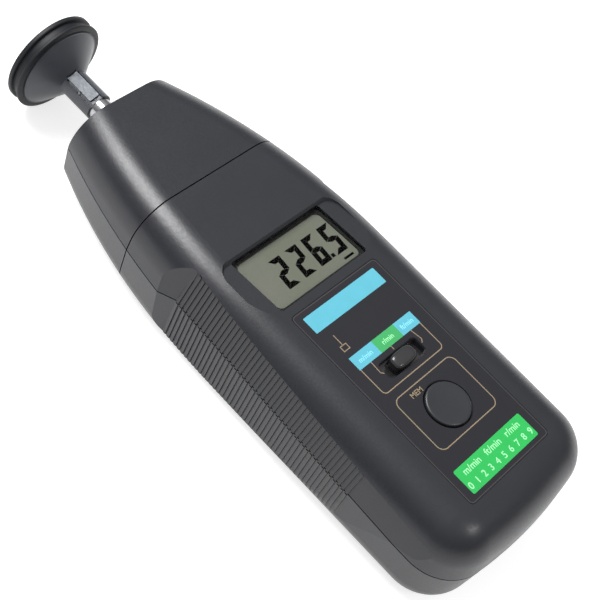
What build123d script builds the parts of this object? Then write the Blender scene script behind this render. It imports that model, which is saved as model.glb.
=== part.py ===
from build123d import *
import math
import os

# Hand-held contact tachometer, lying on its back. X runs across the case, Y runs from the tail
# to the measuring wheel, Z rises from the back to the display. All sizes are in millimetres.

# Overall sizes of the case and of the spindle that stands out of its nose
overall_length = 211.2
tail_y = -105.6
case_length = 178.1
case_depth = 38.5
half_width = 34.8
wall = 2.2

# Plan outline: straight sides, a long taper to the nose and a bowed tail with round corners
taper_start_y = -7.1
side_radius = 235.0
tail_bow_radius = 160.0
tail_corner_radius = 16.0

# Side profile: flat front and back that curve in towards the nose
crown_start_y = -13.0
crown_radius = 614.0
belly_start_y = 20.0
belly_radius = 560.0
front_draft = 6.0
back_draft = 3.0
front_rounding = 12.8
back_rounding = 9.5

# Joint lines between the four mouldings
parting_z = 20.5
seam_y = 34.0
joint_gap = 0.4
tongue_height = 1.5
fit_gap = 0.1

# Grip: a recess in each side with a row of upright ribs under a ledge
grip_front_y = 13.0
grip_front_x = 31.3
grip_tail_y = -64.0
grip_tail_x = 34.5
grip_lean = 14.0
ramp_foot_y = 12.2
ramp_angle = 65.0
ramp_lean = 9.0
ledge_front_z = 35.1
ledge_tail_z = 30.6
rib_count = 46
rib_width = 0.95
rib_height = 0.45
rib_end_gap = 0.7

# Sloping display field and its window
field_drop = 1.6
field_half_width = 25.0
field_corner = 4.0
crease_y = 6.6
crease_lean = 40.0
window_width = 36.1
window_height = 19.1
window_corner = 2.0
window_y = -3.65
lens_border = 0.95
lens_corner = 0.9
lens_sink = 0.2
lens_thickness = 0.7
lens_flange = 2.5
flange_thickness = 0.5
bezel_border = 4.0
bezel_face = 0.3
panel_thickness = 2.2
panel_border = 2.2
panel_gap = 0.15
panel_back = 0.35
face_gap = 0.05
seat_cut_depth = 9.0
seat_rim = 1.3
strip_width = 2.0
strip_inset = 0.6
sheet_gap = 0.03

# Printed front label in its shallow recess
label_width = 37.6
label_tail_y = -90.3
label_nose_y = -17.1
label_thickness = 0.3
label_recess = 0.35
label_corner = 1.5
label_hole_margin = 0.2
label_film_gap = 0.02

# Memory button
button_y = -64.8
button_diameter = 14.4
button_gap = 0.4
button_rise = 0.6
button_dish = 0.3
button_rim = 1.1
button_bevel = 0.5
button_flange = 1.3
button_flange_thickness = 1.2
button_travel = 0.7

# Slide switch for the unit of measurement
slot_y = -46.3
slot_length = 16.5
slot_width = 5.9
slot_corner = 1.3
knob_length = 9.5
knob_rise = 1.8
knob_gap = 0.3
slide_travel = 3.3
slide_cover_thickness = 1.2
actuator_length = 4.0
actuator_width = 2.6
actuator_gap = 0.3
switch_wall = 2.4
switch_floor = 1.2
switch_gap = 0.7
knob_rounding = 0.9
slide_cover_overlap = 1.75

# Measuring button in the right side
test_y = 25.6
test_z = 26.0
test_length = 8.4
test_height = 5.0
test_gap = 0.25
test_rise = 0.8
test_flange_x = 25.9
test_flange_thickness = 1.2
test_flange = 1.3
test_travel = 0.7
test_corner = 1.2
test_switch_depth = 2.7
test_switch_gap = 0.2
test_plunger_radius = 1.3
test_plunger_sink = 0.4
test_board_border = 1.5
test_board_drop = 3.4
test_board_rise = 1.1
guide_wall = 1.2
guide_border = 0.9
guide_gap = 1.15
guide_rise = 3.5

# Circuit boards
board_thickness = 1.6
board_top_z = 30.0
board_half_width = 22.5
board_tail_y = -74.0
board_nose_y = 17.5
board_boss_x = 19.5
board_boss_inset = 3.8
board_boss_radius = 2.75
tact_size = 6.0
tact_height = 3.9
plunger_radius = 1.75
chip_size = 14.0
chip_height = 1.6
small_board_thickness = 1.2

# Four AA cells side by side under a sliding cover
cell_diameter = 14.1
cell_length = 50.5
cell_pitch = 14.2
cell_bottom_z = 2.55
cell_nose_y = -42.7
nipple_diameter = 5.5
nipple_height = 1.0
cell_seat = 1.4
partition = 1.4
ceiling_gap = 0.55
contact_thickness = 0.5
contact_height = 10.0
dome_base_radius = 3.2
dome_tip_radius = 1.8
cell_bevel = 0.4
cover_half_width = 28.7
cover_nose_y = -44.0
cover_height = 4.2
cover_gap = 0.15
rail_depth = 0.9
rail_height = 0.8
rail_z = 2.4
rail_gap = 0.1
rail_root = 0.5
thumb_groove_inset = 6.0
thumb_groove_count = 5
thumb_groove_length = 22.0
thumb_groove_width = 1.2
thumb_groove_depth = 0.5

# Screws
screw_head_diameter = 5.4
screw_head_height = 1.8
screw_diameter = 2.8
small_head_diameter = 4.0
small_head_height = 1.3
small_screw_diameter = 2.0
screw_clearance = 0.05
head_clearance = 0.3
hole_clearance = 0.2
screw_tip_gap = 0.3
board_screw_depth = 4.5
sensor_screw_depth = 2.0
carrier_screw_depth = 5.2
post_radius = 3.0
screw_seat_z = 6.0
screw_reach = 8.5
case_screw_places = [(-26.0, -35.0), (26.0, -35.0), (-17.0, 27.0), (17.0, 27.0)]
nose_screw_places = [(-19.5, 43.0), (19.5, 43.0)]

# Spindle, bushes and their carrier
spindle_z = 17.5
spindle_diameter = 8.0
spindle_tail_diameter = 6.0
spindle_tail_y = 41.0
spindle_shoulder_y = 60.0
spindle_inset = 5.6
running_gap = 0.03
rear_bush_y = 49.0
rear_bush_length = 8.0
bush_wall = 2.0
bush_flange_thickness = 1.2
bush_flange_rim = 1.5
front_bush_length = 9.8
bush_sink = 0.4
seat_gap = 0.05
bush_opening_gap = 0.15
bush_bevel = 0.5
spindle_bevel = 0.6
carrier_wall = 3.0
carrier_flange_half_width = 17.5
carrier_flange_low_z = 8.0
carrier_flange_high_z = 27.1
carrier_flange_thickness = 3.0
carrier_boss_length = 4.5
carrier_boss_radius = 2.5
carrier_screw_x = 14.0
carrier_screw_zs = (12.0, 24.6)
carrier_corner = 2.0
carrier_end_gap = 0.3
ring_thickness = 0.7
ring_rim = 1.5
ring_groove = 0.3
ring_gap = 0.1
ring_play = 0.02

# Slotted disc and light barrier that count the turns
disc_radius = 11.0
disc_y = 44.0
disc_thickness = 0.8
disc_hub_radius = 5.0
disc_hub_length = 3.4
disc_slot_count = 30
disc_slot_width = 0.9
disc_slot_length = 2.6
disc_rim = 0.7
disc_bore_gap = 0.02
barrier_width = 6.0
barrier_length = 7.0
barrier_gap = 2.2
barrier_depth = 3.7
barrier_top = 1.0
barrier_clearance = 0.7
sensor_board_half_width = 13.0
sensor_board_tail_y = 37.5
sensor_board_nose_y = 52.0
sensor_screw_x = 10.0
sensor_screw_y = 49.0
sensor_boss_radius = 2.3

# Measuring wheel with its slotted hub
wheel_radius = 16.75
tyre_wall = 1.1
tyre_gap = 0.02
lip_bevel = 0.45
lip_crest = 0.2
lip_height = 1.05
front_lip_width = 1.9
rear_lip_width = 1.4
tyre_width = 5.5
hub_radius = 4.75
hub_length = 12.3
hub_reach = 24.6
hub_gap = 0.05
web_thickness = 1.7
web_root_radius = 5.2
rim_width = 1.5
cap_thickness = 3.0
cap_radius = 6.5
cap_gap = 0.3
rim_step = 0.4
root_bevel = 0.8
slit_width = 0.5
slit_length = 15.0
pin_slot_width = 1.1
pin_slot_length = 6.8
tongue_width = 3.7
tongue_thickness = 0.6
tongue_margin = 0.08
tongue_start = 1.3
tongue_angle = 20.0
tongue_sink = 0.05
tongue_corner = 0.6
pin_diameter = 0.9
pin_sink = 0.15
pin_play = 0.1
pin_hole_gap = 0.01
pin_embedding = 0.9

nose_y = tail_y + case_length
wheel_front_y = tail_y + overall_length
spindle_end_y = wheel_front_y - spindle_inset
hub_y = wheel_front_y - hub_reach
overrun = 3.0
far = 60.0


def block(x, y, z):
    """Box given by its low and high limits along each axis."""
    size = [pair[1] - pair[0] for pair in (x, y, z)]
    middle = [(pair[0] + pair[1]) / 2 for pair in (x, y, z)]
    return Pos(*middle) * Box(*size)


def one_solid(shape):
    """The single solid of a shape."""
    return shape.solids().sort_by(SortBy.VOLUME)[-1]


def post(x, y, z_low, z_high, radius):
    """Upright round post."""
    return Pos(x, y, (z_low + z_high) / 2) * Cylinder(radius, z_high - z_low)


def rod(x, z, y_low, y_high, radius):
    """Round bar along Y."""
    middle = (y_low + y_high) / 2
    return Pos(x, middle, z) * Rot(90, 0, 0) * Cylinder(radius, y_high - y_low)


def turned(points):
    """Solid turned about the spindle axis from (radius, y) points."""
    face = make_face(Polyline(*[(r, y, 0) for r, y in points], close=True))
    return Pos(0, 0, spindle_z) * revolve(face, Axis.Y)


# Case form


def plan_face(inset):
    """Plan outline of the case at the parting plane, drawn in by inset."""
    side = half_width - inset
    bend = side_radius - inset
    bend_x = half_width - side_radius
    end_y = nose_y + overrun
    mid_y = (taper_start_y + end_y) / 2

    def side_x(y):
        return bend_x + math.sqrt(bend ** 2 - (y - taper_start_y) ** 2)

    bow = tail_bow_radius - inset
    bow_y = tail_y + tail_bow_radius
    corner_y = bow_y - math.sqrt(bow ** 2 - side ** 2)
    edges = [
        ThreePointArc((-side, corner_y), (0, bow_y - bow), (side, corner_y)),
        Line((side, corner_y), (side, taper_start_y)),
        ThreePointArc((side, taper_start_y), (side_x(mid_y), mid_y), (side_x(end_y), end_y)),
        Line((side_x(end_y), end_y), (-side_x(end_y), end_y)),
        ThreePointArc((-side_x(end_y), end_y), (-side_x(mid_y), mid_y), (-side, taper_start_y)),
        Line((-side, taper_start_y), (-side, corner_y)),
    ]
    face = make_face(edges)
    return fillet(face.vertices().sort_by(Axis.Y)[0:2], tail_corner_radius - inset)


def front_z(y, inset=0.0):
    """Height of the front surface on the centre line, before the display field is cut."""
    if y <= crown_start_y:
        return case_depth - inset
    reach = y - crown_start_y
    return case_depth - crown_radius + math.sqrt((crown_radius - inset) ** 2 - reach ** 2)


def back_z(y, inset=0.0):
    """Height of the back surface on the centre line."""
    if y <= belly_start_y:
        return inset
    return belly_radius - math.sqrt((belly_radius - inset) ** 2 - (y - belly_start_y) ** 2)


def profile_block(inset):
    """Block with the side profile of the case, wider than the case."""
    low = tail_y - 10
    high = nose_y + 10
    front_mid = (crown_start_y + high) / 2
    back_mid = (belly_start_y + high) / 2
    edges = [
        Line((low, inset), (belly_start_y, inset)),
        ThreePointArc(
            (belly_start_y, inset), (back_mid, back_z(back_mid, inset)), (high, back_z(high, inset))
        ),
        Line((high, back_z(high, inset)), (high, front_z(high, inset))),
        ThreePointArc(
            (high, front_z(high, inset)),
            (front_mid, front_z(front_mid, inset)),
            (crown_start_y, front_z(crown_start_y, inset)),
        ),
        Line((crown_start_y, case_depth - inset), (low, case_depth - inset)),
        Line((low, case_depth - inset), (low, inset)),
    ]
    return extrude(Plane.YZ * make_face(edges), far, both=True)


def rim_edges(solid, direction):
    """Outer edges of the front faces (direction 1) or back faces (direction -1) of the form."""
    owners = {}
    for face in solid.faces():
        if face.normal_at().Z * direction < 0.9:
            continue
        for edge in face.edges():
            key = tuple(round(value, 3) for value in edge.center())
            owners.setdefault(key, []).append(edge)
    single = [edges[0] for edges in owners.values() if len(edges) == 1]
    return [edge for edge in single if edge.center().Y < nose_y]


def case_form(inset):
    """Drafted and rounded case without its grips, drawn in by inset all over."""
    face = plan_face(inset)
    upper = Pos(0, 0, parting_z) * extrude(face, case_depth - parting_z, taper=front_draft)
    lower = mirror(extrude(face, parting_z, taper=back_draft), about=Plane.XY)
    form = one_solid((upper + Pos(0, 0, parting_z) * lower) & profile_block(inset))
    form = one_solid(fillet(rim_edges(form, 1), front_rounding - inset))
    form = one_solid(fillet(rim_edges(form, -1), back_rounding - inset))
    end = block((-far, far), (nose_y - inset, nose_y + far), (-far, far))
    return one_solid(form - end)


# Grip recess and ribs


def grip_slope():
    """Sideways gain of the grip's crest line for each millimetre towards the tail."""
    return (grip_tail_x - grip_front_x) / (grip_front_y - grip_tail_y)


def crest_x(y, inset=0.0):
    """X of the grip's crest line in the parting plane, drawn in by inset."""
    return grip_front_x - inset + grip_slope() * (grip_front_y - y)


def lean():
    """Inward lean of the upper grip face, as X lost for each millimetre of height."""
    return math.tan(math.radians(grip_lean))


def ramp_slide():
    """Lean of the ramp towards the tail, as Y lost for each millimetre of height."""
    return math.tan(math.radians(ramp_lean))


def ledge_plane(inset):
    """Plane of the ledge above the ribs, raised by inset."""
    points = []
    for y, z in ((grip_tail_y, ledge_tail_z), (grip_front_y, ledge_front_z)):
        points.append(Vector(crest_x(y) - lean() * (z - parting_z), y, z))
    along = (points[1] - points[0]).normalized()
    angle = math.radians(grip_lean)
    outward = Vector(math.cos(angle), 0, math.sin(angle))
    up = outward.cross(along).normalized()
    return Plane(points[0] + up * inset, x_dir=along, z_dir=up)


def grip_recess(inset):
    """Both side recesses as cutters, drawn into the case by inset."""
    angle = math.radians(ramp_angle)
    foot = Vector(grip_front_x, ramp_foot_y) + Vector(-math.sin(angle), math.cos(angle)) * inset
    step = (crest_x(foot.Y, inset) - foot.X) / (math.cos(angle) + grip_slope() * math.sin(angle))
    corner = foot + Vector(math.cos(angle), math.sin(angle)) * step
    outer = corner + Vector(math.cos(angle), math.sin(angle)) * (half_width / 2)
    end_y = tail_y - 5
    outline = Polyline(
        (corner.X, corner.Y),
        (outer.X, outer.Y),
        (far, outer.Y),
        (far, end_y),
        (crest_x(end_y, inset), end_y),
        close=True,
    )
    face = Pos(0, 0, parting_z) * make_face(outline)
    rise = (grip_slope() * ramp_slide() - lean(), -ramp_slide(), 1)
    upper = extrude(face, case_depth, dir=rise)
    upper = split(upper, bisect_by=ledge_plane(inset), keep=Keep.BOTTOM)
    lower = extrude(face, -(parting_z + 1))
    right = upper + lower
    return [right, mirror(right, about=Plane.YZ)]


def rib_plane(leaning):
    """Plane of the groove floor: along the crest line, up the grip face, outward."""
    along = Vector(-grip_slope(), 1, 0).normalized()
    angle = math.radians(grip_lean) if leaning else 0.0
    outward = Vector(math.cos(angle), grip_slope() * math.cos(angle), math.sin(angle)).normalized()
    start = Vector(crest_x(grip_tail_y, rib_height), grip_tail_y, parting_z)
    return Plane(start, x_dir=along, z_dir=outward)


def grip_ribs(form):
    """Raised ribs of both grips, round at their upper ends, running out on the back rounding."""
    length = (ramp_foot_y - grip_tail_y) / math.cos(math.atan(grip_slope()))
    pitch = length / rib_count
    cosine = math.cos(math.radians(grip_lean))
    tail_height = (ledge_tail_z - parting_z) / cosine
    front_height = (ledge_front_z - parting_z) / cosine
    half = rib_width / 2
    sink = rib_height
    upper = []
    lower = []
    for index in range(rib_count):
        middle = (index + 0.5) * pitch
        top = tail_height + (front_height - tail_height) * middle / length - rib_end_gap - half
        low, high = middle - half, middle + half
        bar = make_face(
            [
                Line((low, 0), (high, 0)),
                Line((high, 0), (high, top)),
                ThreePointArc((high, top), (middle, top + half), (low, top)),
                Line((low, top), (low, 0)),
            ]
        )
        upper.append(bar)
        lower.append(Pos(middle, -parting_z / 2) * Rectangle(rib_width, parting_z))
    thickness = rib_height + sink
    raised = extrude(rib_plane(True).offset(-sink) * Sketch(children=upper), thickness)
    hanging = extrude(rib_plane(False).offset(-sink) * Sketch(children=lower), thickness)
    hanging = hanging & form
    bars = list(raised.solids()) + list(hanging.solids())
    return bars + [mirror(bar, about=Plane.YZ) for bar in bars]


def recessed_form(inset):
    """Case form with its grip recesses, drawn in by inset; the ribs stand on its surface."""
    form = case_form(inset)
    return one_solid(form - grip_recess(inset + rib_height))


def display_plane():
    """Plane of the display field at the middle of the window."""
    slope = field_drop / (crease_y - crown_start_y)
    height = case_depth - slope * (window_y - crown_start_y)
    return Plane((0, window_y, height), x_dir=(1, 0, 0), z_dir=(0, slope, 1))


def display_wedge():
    """Cutter for the sloping display field, with round corners and a leaning step at the nose."""
    top = case_depth + 1
    step_y = crease_y + (field_drop + 1) * math.tan(math.radians(crease_lean))
    outline = Polyline(
        (crown_start_y, case_depth),
        (crease_y, case_depth - field_drop),
        (step_y, top),
        (crown_start_y, top),
        close=True,
    )
    wedge = extrude(Plane.YZ * make_face(outline), field_half_width, both=True)
    upright = [edge for edge in wedge.edges() if abs(edge.tangent_at(0.5).Z) > 0.5]
    return fillet(upright, field_corner)


def display_frame(width, height, top, bottom, corner=0.0):
    """Rectangular block in the display plane, from local height top down to bottom."""
    face = RectangleRounded(width, height, corner) if corner else Rectangle(width, height)
    return extrude(display_plane().offset(bottom) * face, top - bottom)


# Shared places


def board_bottom_z():
    return board_top_z - board_thickness


def small_hole_radius():
    return small_screw_diameter / 2 + hole_clearance


def board_screw_places():
    ys = (board_tail_y + board_boss_inset, board_nose_y - board_boss_inset)
    return [(x, y) for x in (-board_boss_x, board_boss_x) for y in ys]


def cell_z():
    return cell_bottom_z + cell_diameter / 2


def cell_tail_y():
    return cell_nose_y - cell_length


def cell_places():
    return [(index - 1.5) * cell_pitch for index in range(4)]


def chamber_top_z():
    return cell_bottom_z + cell_diameter + ceiling_gap


def chamber_nose_y():
    return cell_nose_y + cell_seat + contact_thickness


def chamber_tail_y():
    return cell_tail_y() - cell_seat - contact_thickness


def inner_front_z():
    return case_depth - wall


def button_hole_radius():
    return button_diameter / 2 + button_gap


def slot_face(margin):
    return RectangleRounded(slot_length + 2 * margin, slot_width + 2 * margin, slot_corner + margin)


def front_bush_y():
    return nose_y - bush_sink - front_bush_length


def front_bush_radius():
    return spindle_diameter / 2 + bush_wall


def rear_bush_radius():
    return spindle_tail_diameter / 2 + bush_wall


def carrier_nose_y():
    return nose_y - wall - carrier_boss_length


def carrier_seat_y():
    return carrier_nose_y() - face_gap - carrier_flange_thickness


def disc_top_z():
    return spindle_z + disc_radius


def barrier_top_z():
    return disc_top_z() + barrier_clearance + barrier_top


def test_face_x():
    return test_flange_x + test_flange_thickness


def test_opening(margin):
    """Rounded bar along X with the outline of the measuring button."""
    plane = Plane((test_face_x(), test_y, test_z), x_dir=(0, 1, 0), z_dir=(1, 0, 0))
    length = test_length + 2 * margin
    height = test_height + 2 * margin
    return extrude(plane * RectangleRounded(length, height, test_corner + margin), half_width)


def test_board_x():
    depth = test_switch_depth + small_board_thickness + test_switch_gap
    return test_flange_x - test_travel - depth


def test_board_half():
    return test_length / 2 + test_board_border


# Mouldings


def joint_tongue(outer_step, inner, y, z):
    """Tongue of half the wall's thickness along a joint, inside the given limits."""
    region = block((-far, far), y, z)
    return (outer_step & region) - inner


def screw_post(form, x, y, z_low, z_high):
    """Post for a screw, grown onto the inside of the wall."""
    return form & post(x, y, z_low, z_high, post_radius)


def front_shell(outer, middle, step, inner):
    """Front moulding of the main case: display field, label recess, button holes and posts."""
    gap = joint_gap / 2
    low = parting_z + gap
    shell = (outer & block((-far, far), (-far * 2, seam_y - gap), (low, far))) - inner
    shell = shell - (middle & block((-far, far), (-far * 2, seam_y), (0, low + tongue_height)))
    nose_tongue = (seam_y - gap - tongue_height, seam_y - gap + tongue_height)
    shell = shell + joint_tongue(step, inner, nose_tongue, (low + tongue_height, far))
    seat_bottom = bezel_top()
    lens_width = window_width + 2 * lens_border
    lens_height = window_height + 2 * lens_border
    flange_width = lens_width + 2 * lens_flange
    flange_height = lens_height + 2 * lens_flange
    seat = display_frame(flange_width + 2 * seat_rim, flange_height + 2 * seat_rim, 0, -seat_bottom)
    additions = [middle & seat]
    for x, y in board_screw_places():
        additions.append(middle & post(x, y, board_top_z, case_depth, board_boss_radius))
    for x, y in case_screw_places:
        additions.append(screw_post(middle, x, y, low, case_depth))
    guide_x = (test_board_x() - guide_border, test_board_x() + small_board_thickness + guide_border)
    for side in (-1, 1):
        near = test_y + side * (test_length / 2 + guide_gap)
        rib = block(guide_x, sorted((near, near + side * guide_wall)), (low + guide_rise, case_depth))
        additions.append(middle & rib)
    shell = shell + additions
    lens_slack = 2 * fit_gap
    flange_top = -(lens_sink + lens_thickness)
    cutters = [
        display_wedge(),
        display_frame(
            lens_width + lens_slack, lens_height + lens_slack, 2, -seat_bottom - 1, lens_corner + fit_gap
        ),
        display_frame(flange_width + lens_slack, flange_height + lens_slack, flange_top, -seat_cut_depth),
        display_frame(
            bezel_width() + lens_slack, bezel_height() + lens_slack, -seat_bottom, -seat_cut_depth
        ),
        post(0, button_y, board_top_z, case_depth + 1, button_hole_radius()),
        Pos(0, slot_y, board_top_z) * extrude(slot_face(0), case_depth),
        test_opening(test_gap),
    ]
    middle_y = (label_tail_y + label_nose_y) / 2
    label = RectangleRounded(label_width, label_nose_y - label_tail_y, label_corner)
    cutters.append(Pos(0, middle_y, case_depth - label_recess) * extrude(label, 1))
    for x, y in board_screw_places():
        radius = small_screw_diameter / 2 + screw_clearance
        cutters.append(post(x, y, board_top_z, board_top_z + board_screw_depth, radius))
    for x, y in case_screw_places:
        radius = screw_diameter / 2 + screw_clearance
        cutters.append(post(x, y, low, low + screw_reach, radius))
    reach = test_board_half() + fit_gap
    slit_y = (test_y - reach, test_y + reach)
    slit_x = (test_board_x() - fit_gap, test_board_x() + small_board_thickness + fit_gap)
    cutters.append(block(slit_x, slit_y, (low, board_top_z + test_board_rise + fit_gap)))
    return one_solid(shell - cutters)


def rear_shell(outer, middle, step, inner):
    """Rear moulding of the main case, with the battery chamber and screw pillars."""
    gap = joint_gap / 2
    high = parting_z - gap
    shell = (outer & block((-far, far), (-far * 2, seam_y - gap), (-far, high))) - inner
    main = (-far * 2, seam_y - gap)
    shell = shell + joint_tongue(step, inner, main, (high - tongue_height, high + tongue_height))
    nose_tongue = (seam_y - gap - tongue_height, seam_y - gap + tongue_height)
    shell = shell + joint_tongue(step, inner, nose_tongue, (-far, high))
    top = chamber_top_z()
    tail = chamber_tail_y() - partition
    nose = chamber_nose_y() + partition
    additions = [
        middle & block((-far, far), (tail, nose), (top, top + partition)),
        middle & block((-far, far), (nose - partition, nose), (0, top + partition)),
        middle & block((-far, far), (tail, tail + partition), (0, top + partition)),
    ]
    for side in (-1, 1):
        rail = sorted((side * (cover_half_width - rail_root), side * (cover_half_width + rail_depth + 1)))
        height = (rail_z - rail_height, rail_z + 2 * rail_height + 2 * rail_gap)
        additions.append(middle & block(rail, (tail, nose), height))
    for x, y in case_screw_places:
        additions.append(screw_post(middle, x, y, 0, high))
    shell = shell + additions
    edge = cover_half_width + cover_gap
    cutters = [
        block((-edge, edge), (-far * 2, cover_nose_y + cover_gap), (-1, cover_height + cover_gap)),
    ]
    for side in (-1, 1):
        groove = sorted((0, side * (cover_half_width + rail_depth + rail_gap)))
        height = (rail_z - rail_gap, rail_z + rail_height + rail_gap)
        cutters.append(block(groove, (-far * 2, cover_nose_y + cover_gap), height))
    for x, y in case_screw_places:
        cutters += screw_hole(x, y, high)
    return one_solid(shell - cutters)


def screw_hole(x, y, high):
    """Counterbore from the back and clearance hole for a case screw."""
    bore = screw_head_diameter / 2 + head_clearance
    shank = screw_diameter / 2 + hole_clearance
    return [post(x, y, -1, screw_seat_z, bore), post(x, y, screw_seat_z, high + 1, shank)]


def spindle_opening():
    """Hole through the nose for the front bush."""
    return rod(0, spindle_z, nose_y - wall - 1, nose_y + 1, front_bush_radius() + bush_opening_gap)


def nose_front_shell(outer, middle, inner):
    """Front half of the nose moulding."""
    gap = joint_gap / 2
    low = parting_z + gap
    shell = (outer & block((-far, far), (seam_y + gap, far * 2), (low, far))) - inner
    rebate = seam_y - gap + tongue_height + 2 * fit_gap
    shell = shell - (middle & block((-far, far), (0, rebate), (0, far)))
    shell = shell - (middle & block((-far, far), (seam_y, far * 2), (0, low + tongue_height)))
    additions = []
    for x, y in nose_screw_places:
        additions.append(screw_post(middle, x, y, low, case_depth))
    for x in (-sensor_screw_x, sensor_screw_x):
        board_top = barrier_top_z() + small_board_thickness
        additions.append(middle & post(x, sensor_screw_y, board_top, case_depth, sensor_boss_radius))
        additions.append(carrier_boss(middle, x, 1))
    shell = shell + additions
    cutters = [spindle_opening()]
    for x, y in nose_screw_places:
        radius = screw_diameter / 2 + screw_clearance
        cutters.append(post(x, y, low, low + screw_reach, radius))
    for x in (-sensor_screw_x, sensor_screw_x):
        base = barrier_top_z() + small_board_thickness
        radius = small_screw_diameter / 2 + screw_clearance
        cutters.append(post(x, sensor_screw_y, base, base + sensor_screw_depth, radius))
        cutters.append(carrier_screw_hole(x, 1))
    return one_solid(shell - cutters)


def carrier_boss(middle, x, row):
    """Boss on the inside of the nose wall that holds one screw of the bearing carrier."""
    side = carrier_screw_x if x > 0 else -carrier_screw_x
    boss = rod(side, carrier_screw_zs[row], carrier_nose_y(), nose_y, carrier_boss_radius)
    return middle & boss


def carrier_screw_hole(x, row):
    """Blind hole in a carrier boss."""
    side = carrier_screw_x if x > 0 else -carrier_screw_x
    radius = small_screw_diameter / 2 + screw_clearance
    end = carrier_nose_y() + carrier_screw_depth
    return rod(side, carrier_screw_zs[row], carrier_nose_y() - 1, end, radius)


def nose_rear_shell(outer, middle, step, inner):
    """Rear half of the nose moulding."""
    gap = joint_gap / 2
    high = parting_z - gap
    shell = (outer & block((-far, far), (seam_y + gap, far * 2), (-far, high))) - inner
    rebate = seam_y - gap + tongue_height + 2 * fit_gap
    shell = shell - (middle & block((-far, far), (0, rebate), (-1, high + 1)))
    nose = (rebate + 2 * fit_gap, far * 2)
    shell = shell + joint_tongue(step, inner, nose, (high - tongue_height, high + tongue_height))
    additions = []
    for x, y in nose_screw_places:
        additions.append(screw_post(middle, x, y, 0, high))
        additions.append(carrier_boss(middle, x, 0))
    shell = shell + additions
    cutters = [spindle_opening()]
    for x, y in nose_screw_places:
        cutters += screw_hole(x, y, high)
        cutters.append(carrier_screw_hole(x, 0))
    return one_solid(shell - cutters)


def battery_cover(inner):
    """Sliding cover of the battery chamber, with side tongues and thumb grooves."""
    region = block((-cover_half_width, cover_half_width), (-far * 2, cover_nose_y), (-1, cover_height))
    cover = (case_form(0) & region) - inner
    tongues = []
    for side in (-1, 1):
        width = sorted((side * (cover_half_width - 1), side * (cover_half_width + rail_depth)))
        tail = cell_tail_y()
        tongues.append(block(width, (tail, cover_nose_y - 1), (rail_z, rail_z + rail_height)))
    cover = cover + tongues
    grooves = []
    for index in range(thumb_groove_count):
        y = cover_nose_y - thumb_groove_inset - index * 2 * thumb_groove_width
        width = (-thumb_groove_length / 2, thumb_groove_length / 2)
        length = (y - thumb_groove_width, y)
        grooves.append(block(width, length, (-1, thumb_groove_depth)))
    return one_solid(cover - grooves)


# Display


def lcd_window():
    """Clear window: a plate in the opening and a flange behind the case wall."""
    width = window_width + 2 * lens_border
    height = window_height + 2 * lens_border
    bottom = lens_sink + lens_thickness
    flange_top = -bottom - face_gap
    plate = display_frame(width, height, -lens_sink, flange_top, lens_corner)
    outer_width = width + 2 * lens_flange
    outer_height = height + 2 * lens_flange
    flange = display_frame(outer_width, outer_height, flange_top, -bottom - flange_thickness)
    return one_solid(plate + flange)


def bezel_top():
    """Depth of the bezel's face under the display plane."""
    return lens_sink + lens_thickness + flange_thickness + fit_gap


def bezel_width():
    return window_width + 2 * bezel_border


def bezel_height():
    return window_height + 2 * bezel_border


def display_bezel():
    """Frame round the display panel, with the visible opening of the display."""
    top = bezel_top()
    bottom = top + bezel_face + panel_thickness + panel_back
    frame = display_frame(bezel_width(), bezel_height(), -top, -bottom)
    frame = frame - display_frame(window_width, window_height, 0, -bottom - 1, window_corner)
    pocket_width = window_width + 2 * (panel_border + panel_gap)
    pocket_height = window_height + 2 * (panel_border + panel_gap)
    pocket = display_frame(pocket_width, pocket_height, -top - bezel_face, -bottom - 1)
    return one_solid(frame - pocket)


def lcd_panel():
    """Display panel in the bezel's pocket."""
    width = window_width + 2 * panel_border
    height = window_height + 2 * panel_border
    top = bezel_top() + bezel_face + face_gap
    return display_frame(width, height, -top, -top - panel_thickness)


def contact_strips():
    """Two rubber contact strips between the display panel and the board."""
    reach = (window_height + 2 * panel_border) / 2 - strip_width / 2 - strip_inset
    panel_bottom = bezel_top() + bezel_face + face_gap + panel_thickness
    strips = []
    for side in (-1, 1):
        plane = display_plane()
        y = window_y + side * reach
        edge = plane.from_local_coords((0, side * reach + strip_width / 2, -panel_bottom))
        top = edge.Z - face_gap
        x = (-window_width / 2, window_width / 2)
        low = board_top_z + sheet_gap
        strips.append(block(x, (y - strip_width / 2, y + strip_width / 2), (low, top)))
    return Compound(children=[strip.solid() for strip in strips])


def front_label():
    """Printed label sheet with openings for the button and the slide switch."""
    middle_y = (label_tail_y + label_nose_y) / 2
    length = label_nose_y - label_tail_y - 2 * fit_gap
    width = label_width - 2 * fit_gap
    face = Pos(0, middle_y) * RectangleRounded(width, length, label_corner)
    face = face - Pos(0, button_y) * Circle(button_hole_radius() + label_hole_margin)
    face = face - Pos(0, slot_y) * slot_face(label_hole_margin)
    base = case_depth - label_recess + label_film_gap
    return one_solid(Pos(0, 0, base) * extrude(face, label_thickness))


# Controls


def memory_button():
    """Round push button: dished top, rounded rim and a flange behind the case wall."""
    radius = button_diameter / 2
    top = case_depth + button_rise
    flange_top = inner_front_z() - fit_gap
    flange_bottom = flange_top - button_flange_thickness
    dish = radius - button_rim
    dish_radius = (dish ** 2 + button_dish ** 2) / (2 * button_dish)
    dish_middle = top - button_dish + dish_radius - math.sqrt(dish_radius ** 2 - dish ** 2 / 4)
    flange = button_hole_radius() + button_flange
    bend = button_bevel * 0.3
    side = Polyline(
        (0, top - button_dish),
        (0, flange_bottom),
        (flange, flange_bottom),
        (flange, flange_top),
        (radius, flange_top),
        (radius, top - button_bevel),
        (radius - bend, top - bend),
        (radius - button_bevel, top),
        (dish, top),
    )
    edges = [side, ThreePointArc((dish, top), (dish / 2, dish_middle), (0, top - button_dish))]
    return Pos(0, button_y, 0) * revolve(Plane.XZ * make_face(edges), Axis.Z)


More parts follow.
